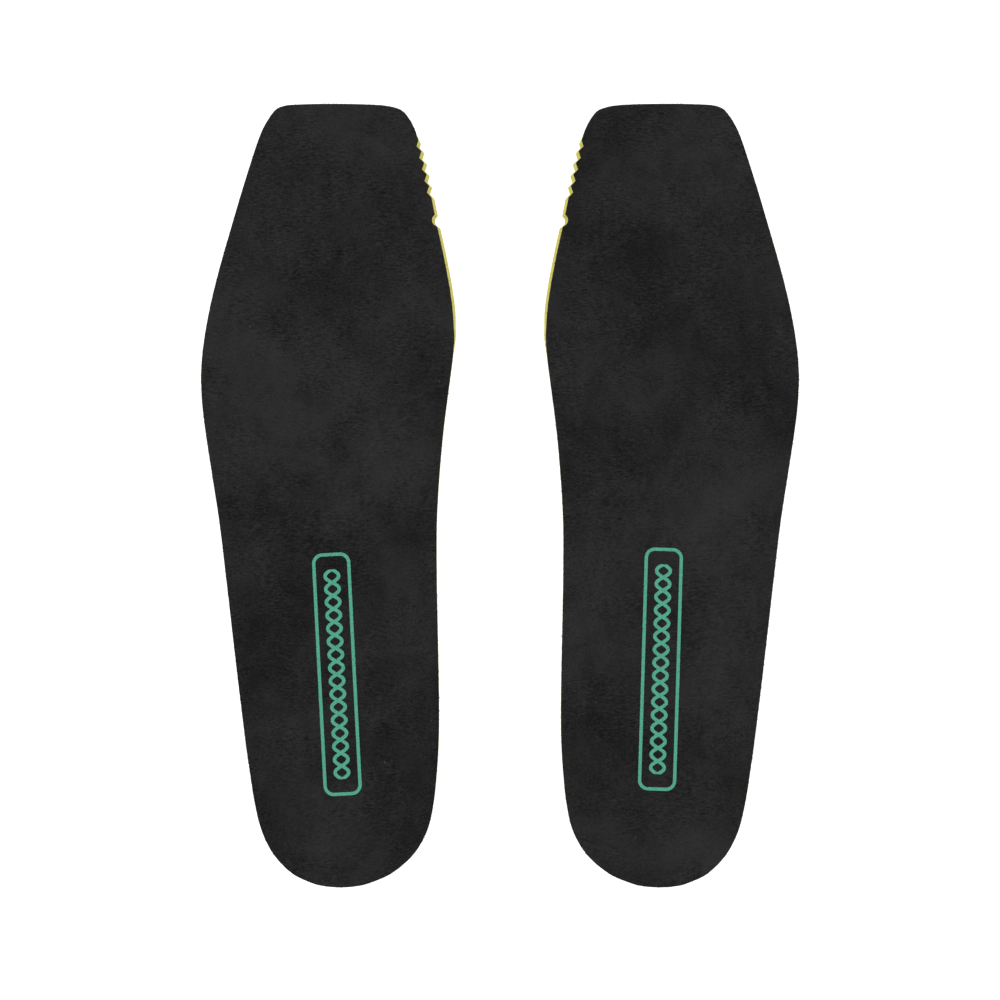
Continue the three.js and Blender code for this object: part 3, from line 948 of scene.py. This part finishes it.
def spike(points, faces, base, heading, bend, length, thick):
    """Adds a three-sided spike in two lengths, which tapers to a point."""
    heading = heading.normalized()
    side = heading.orthogonal().normalized()
    other = heading.cross(side)
    first = len(points)
    for share, width in ((0, 1), (0.5, 0.8)):
        middle = base + heading * length * share + bend * length * share ** 2
        for step in range(3):
            turn = 2 * math.pi * step / 3
            around = side * math.cos(turn) + other * math.sin(turn)
            points.append(middle + around * thick * width)
    points.append(base + heading * length + bend * length)
    tip = first + 6
    faces.append([first, first + 2, first + 1])
    for step in range(3):
        after = (step + 1) % 3
        faces.append([first + step, first + after, first + 3 + after, first + 3 + step])
        faces.append([first + 3 + step, first + 3 + after, tip])


def build(side):
    """One whole insole."""
    insole = Insole(side)
    cover = top_cover(insole)
    foam = foam_base(insole)
    heel, forefoot = (pad(insole, node) for node in PAD_NODES)
    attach(heel, REAR_BODY)
    insole.bends(forefoot)
    border = ink_piece(insole, "print_border", border_ink)
    pattern = ink_piece(insole, "print_pattern", wave_ink)
    fibres = edge_fibres(insole)


for side in SIDES:
    build(side)

# ---- Stage ----------------------------------------------------------------------------------

FLOOR_HALF = 12.0  # half the width of the floor
FLOOR_GAP = 0.05 * MM  # keeps the floor clear of the soles' own faces
CAMERA_HEIGHT = 0.9
CAMERA_LENS = 84.85
CAMERA_SHIFT = 2.35 * MM  # how far towards the heels the camera stands from the pair's middle


def floor():
    half = FLOOR_HALF
    points = [(-half, -half, 0), (half, -half, 0), (half, half, 0), (-half, half, 0)]
    made = mesh_object("floor", points, [(0, 1, 2, 3)], studio_floor())
    made.location.z = cad_low.z - FLOOR_GAP


def soft_light(name, place, size, power):
    """A round lamp that faces the middle of the pair."""
    lamp = bpy.data.lights.new(name, "AREA")
    lamp.shape = "DISK"
    lamp.size = size
    lamp.energy = power
    made = bpy.data.objects.new(name, lamp)
    made.location = place
    made.rotation_mode = "QUATERNION"
    made.rotation_quaternion = (-Vector(place)).to_track_quat("-Z", "Y")
    bpy.context.scene.collection.objects.link(made)


def studio():
    """Even light from all round, with two lamps to bring out the relief."""
    world = bpy.data.worlds.new("studio")
    world.use_nodes = True
    background = world.node_tree.nodes["Background"]
    background.inputs["Color"].default_value = grey(1)
    background.inputs["Strength"].default_value = 0.9
    bpy.context.scene.world = world
    soft_light("key_light", place=(-0.9, 0.7, 1.6), size=1.2, power=8)
    soft_light("fill_light", place=(1.1, -0.6, 1.5), size=1.5, power=4)
    bpy.context.scene.view_settings.view_transform = "Standard"


def camera():
    """Straight above the pair, with the toes at the top of the picture."""
    middle = (cad_low + cad_high) / 2
    made = bpy.data.objects.new("camera", bpy.data.cameras.new("camera"))
    made.data.lens = CAMERA_LENS
    made.location = (middle.x, middle.y - CAMERA_SHIFT, CAMERA_HEIGHT)
    bpy.context.scene.collection.objects.link(made)
    bpy.context.scene.camera = made


floor()
studio()
camera()
